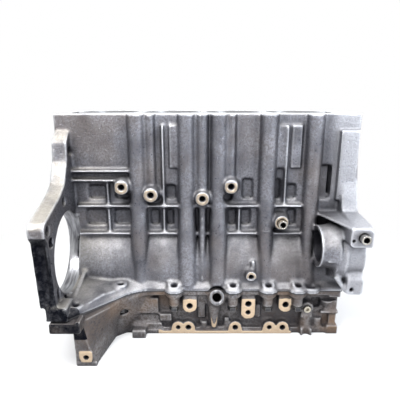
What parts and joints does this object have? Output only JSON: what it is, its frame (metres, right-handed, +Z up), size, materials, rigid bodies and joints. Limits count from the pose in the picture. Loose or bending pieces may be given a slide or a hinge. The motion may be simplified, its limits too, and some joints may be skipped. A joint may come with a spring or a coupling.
{
  "type": "engine block",
  "caption": "Open-deck aluminium in-line engine block with cast-in cylinder liners, a gearbox flange with a starter opening, and a bedplate bolted on below.",
  "frame": {"origin": "on the crankshaft axis and the parting plane between block and bedplate, halfway along the row of cylinders", "axes": "+X towards the timing end, +Z up the cylinders to the deck, -Y towards the side with the starter opening"},
  "size_m": [0.387, 0.288, 0.297],
  "materials": {
    "block_casting": "cast, silver grey, oily, machined faces bright",
    "bedplate_casting": "cast, darker grey, machined pads bright",
    "liner_iron": "honed grey iron",
    "bolt_steel": "black phosphated steel",
    "dowel_steel": "bright ground steel",
    "plug_steel": "zinc-coated steel",
    "jet_steel": "plain steel",
    "sealant": "dark silicone bead"
  },
  "bodies": {
    "root": {"cylinder_block": "block_casting", "bedplate": "bedplate_casting", "cylinder_liner_1": "liner_iron", "cylinder_liner_2": "liner_iron", "cylinder_liner_3": "liner_iron", "cylinder_liner_4": "liner_iron", "main_bearing_bolts": "bolt_steel", "bedplate_bolts": "bolt_steel", "wall_dowel": "dowel_steel", "ear_dowel": "dowel_steel", "ring_dowels": "dowel_steel", "gallery_plugs": "plug_steel", "bedplate_plug": "plug_steel", "piston_cooling_jets": "jet_steel", "parting_sealant": "sealant"}
  },
  "joints": []
}
